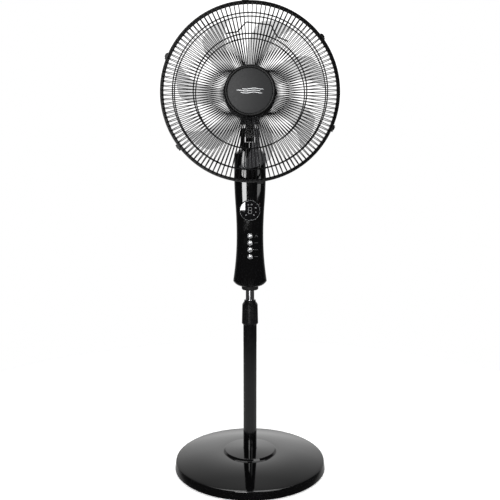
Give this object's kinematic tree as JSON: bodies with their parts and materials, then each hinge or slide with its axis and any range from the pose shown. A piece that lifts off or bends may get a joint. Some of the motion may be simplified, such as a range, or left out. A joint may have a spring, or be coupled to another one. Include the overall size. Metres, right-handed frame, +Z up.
{
  "type": "pedestal fan",
  "caption": "Free-standing pedestal fan with a round weighted base, telescopic pole, push-button control column, swinging and tilting caged head and translucent blades.",
  "frame": {"origin": "centre of the base on the floor, under the pole", "axes": "+Z up along the pole, the fan blows towards -Y, +X to the right seen from the front"},
  "size_m": [0.435, 0.4, 1.2053],
  "materials": {
    "gloss_black": "high gloss moulded",
    "satin_black": "satin moulded",
    "pole_paint": "gloss powder coat",
    "wire_paint": "satin powder coat",
    "chrome": "mirror plated",
    "medallion": "fine grained satin",
    "blade": "smoky translucent",
    "display_glass": "polished lens",
    "display_trim": "satin",
    "remote_glass": "tinted infrared window",
    "iron": "rough cast",
    "steel": "plain",
    "copper": "enamelled winding",
    "bronze": "sintered",
    "rubber": "matte",
    "board": "circuit board",
    "nylon": "natural nylon"
  },
  "bodies": {
    "stand": {"base_cover": "gloss_black", "base_weight": "iron", "base_plate": "steel", "rubber_feet": "rubber", "pole_socket": "steel", "base_hand_nut": "satin_black", "outer_tube": "pole_paint", "collar_sleeve": "satin_black"},
    "lock_ring": {"height_lock_ring": "satin_black"},
    "column": {"inner_tube": "chrome", "tube_guide": "nylon", "tube_socket": "satin_black", "column_lock_ring": "satin_black", "column_front_shell": "gloss_black", "column_rear_shell": "gloss_black", "shell_screws": "steel", "display_ring": "display_trim", "display_lens": "display_glass", "display_board": "board", "remote_window": "remote_glass", "button_board": "board", "main_board": "board", "cord_gland": "rubber", "swing_motor": "steel", "neck_bearing": "nylon"},
    "neck": {"neck_yoke": "gloss_black", "swing_shaft": "steel", "tilt_bolt": "steel", "tilt_washers": "satin_black"},
    "head": {"tilt_arm": "satin_black", "motor_front_cover": "gloss_black", "motor_rear_cover": "gloss_black", "stator_core": "steel", "stator_coils": "copper", "motor_bearings": "bronze", "rear_grille_spokes": "wire_paint", "rear_grille_hoops": "wire_paint", "rear_grille_plate": "wire_paint", "grille_lock_nut": "satin_black", "carry_handle": "wire_paint", "grille_ring": "gloss_black", "front_grille_spokes": "wire_paint", "front_grille_hoops": "wire_paint", "front_grille_plate": "wire_paint", "hub_bezel": "gloss_black", "medallion": "medallion"},
    "rotor": {"motor_shaft": "steel", "rotor_core": "steel", "fan_blades": "blade", "spinner_nut": "satin_black"},
    "button_power": {"button_power": "chrome"},
    "button_speed": {"button_speed": "chrome"},
    "button_swing": {"button_swing": "chrome"},
    "button_timer": {"button_timer": "chrome"},
    "cage_clip_1": {"cage_clip_1": "gloss_black"},
    "cage_clip_2": {"cage_clip_2": "gloss_black"},
    "cage_clip_3": {"cage_clip_3": "gloss_black"},
    "cage_clip_4": {"cage_clip_4": "gloss_black"},
    "cage_clip_5": {"cage_clip_5": "gloss_black"},
    "cage_clip_6": {"cage_clip_6": "gloss_black"}
  },
  "joints": [
    {"name": "height_lock_turn", "type": "hinge", "parent": "stand", "child": "lock_ring", "pos_m": [0, 0, 0.42], "axis": [0, 0, 1], "range_deg": [0, 180]},
    {"name": "height_slide", "type": "slide", "parent": "stand", "child": "column", "axis": [0, 0, 1], "range_m": [-0.025, 0.2]},
    {"name": "head_swing", "type": "hinge", "parent": "column", "child": "neck", "pos_m": [0, 0, 0.85], "axis": [0, 0, 1], "range_deg": [-40, 40]},
    {"name": "head_tilt", "type": "hinge", "parent": "neck", "child": "head", "pos_m": [0, 0, 0.889], "axis": [-1, 0, 0], "range_deg": [-10, 20]},
    {"name": "blade_spin", "type": "hinge", "parent": "head", "child": "rotor", "pos_m": [0, -0.05, 0.983], "axis": [0, -1, 0], "continuous": true},
    {"name": "button_power_press", "type": "slide", "parent": "column", "child": "button_power", "axis": [0, 1, 0], "range_m": [0, 0.001], "stiffness_N_per_m": 400, "springref_m": -0.0005},
    {"name": "button_speed_press", "type": "slide", "parent": "column", "child": "button_speed", "axis": [0, 1, 0], "range_m": [0, 0.001], "stiffness_N_per_m": 400, "springref_m": -0.0005},
    {"name": "button_swing_press", "type": "slide", "parent": "column", "child": "button_swing", "axis": [0, 1, 0], "range_m": [0, 0.001], "stiffness_N_per_m": 400, "springref_m": -0.0005},
    {"name": "button_timer_press", "type": "slide", "parent": "column", "child": "button_timer", "axis": [0, 1, 0], "range_m": [0, 0.001], "stiffness_N_per_m": 400, "springref_m": -0.0005},
    {"name": "cage_clip_1_open", "type": "hinge", "parent": "head", "child": "cage_clip_1", "pos_m": [0.17454, -0.094, 1.11693], "axis": [-0.6088, 0, 0.7934], "range_deg": [0, 80]},
    {"name": "cage_clip_2_open", "type": "hinge", "parent": "head", "child": "cage_clip_2", "pos_m": [-0.01151, -0.094, 1.2027], "axis": [-0.9986, 0, -0.0523], "range_deg": [0, 80]},
    {"name": "cage_clip_3_open", "type": "hinge", "parent": "head", "child": "cage_clip_3", "pos_m": [-0.20175, -0.094, 1.07072], "axis": [-0.3987, 0, -0.9171], "range_deg": [0, 80]},
    {"name": "cage_clip_4_open", "type": "hinge", "parent": "head", "child": "cage_clip_4", "pos_m": [-0.1757, -0.094, 0.8506], "axis": [0.6018, 0, -0.7986], "range_deg": [0, 80]},
    {"name": "cage_clip_5_open", "type": "hinge", "parent": "head", "child": "cage_clip_5", "pos_m": [0.02681, -0.094, 0.76464], "axis": [0.9925, 0, 0.1219], "range_deg": [0, 80]},
    {"name": "cage_clip_6_open", "type": "hinge", "parent": "head", "child": "cage_clip_6", "pos_m": [0.20251, -0.094, 0.89704], "axis": [0.3907, 0, 0.9205], "range_deg": [0, 80]}
  ]
}
